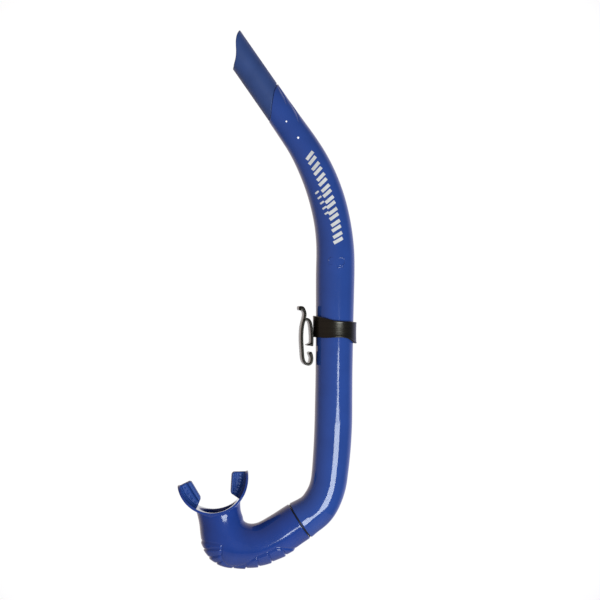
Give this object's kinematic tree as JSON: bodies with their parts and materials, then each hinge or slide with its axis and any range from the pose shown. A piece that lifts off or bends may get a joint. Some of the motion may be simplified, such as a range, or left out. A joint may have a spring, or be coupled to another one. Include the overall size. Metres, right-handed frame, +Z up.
{
  "type": "snorkel tube",
  "caption": "J-shaped breathing snorkel with a slanted open tip, a moulded mouthpiece with lip shield and bite tabs, and a strap keeper that slides and turns on the straight barrel.",
  "frame": {"origin": "middle of the clip's slot, where the mask strap runs", "axes": "+Z up along the straight barrel, +X from the clip towards the barrel and away from the mouthpiece, the barrel's bend plane parallel to XZ"},
  "size_m": [0.138, 0.0352, 0.4204],
  "materials": {
    "barrel_blue": "high gloss",
    "tip_blue": "satin",
    "coupling_black": "satin",
    "mouth_blue": "glossy silicone rubber",
    "keeper_black": "satin gloss",
    "liner_black": "matte rubber",
    "stud_black": "satin gloss",
    "clip_black": "glossy"
  },
  "bodies": {
    "clip": {"strap_clip": "clip_black", "swivel_stud": "stud_black"},
    "band": {"keeper_band": "keeper_black"},
    "liner": {"keeper_liner": "liner_black"},
    "tube": {"barrel_tube": "barrel_blue", "top_tip": "tip_blue", "coupling_sleeve": "coupling_black"},
    "mouth": {"mouthpiece": "mouth_blue"}
  },
  "joints": [
    {"name": "clip_swivel", "type": "hinge", "parent": "clip", "child": "band", "pos_m": [0.0052, 0.00069, -0.0022], "axis": [0.9914, 0.1305, 0], "continuous": true},
    {"name": "keeper_turn", "type": "hinge", "parent": "band", "child": "liner", "pos_m": [0.02255, 0.00297, 0], "axis": [0, 0, 1], "continuous": true},
    {"name": "keeper_slide", "type": "slide", "parent": "liner", "child": "tube", "axis": [0, 0, 1], "range_m": [-0.022, 0.052]},
    {"name": "mouthpiece_turn", "type": "hinge", "parent": "tube", "child": "mouth", "pos_m": [-0.00254, 0.00297, -0.14791], "axis": [-0.8281, 0, -0.5606], "continuous": true}
  ]
}
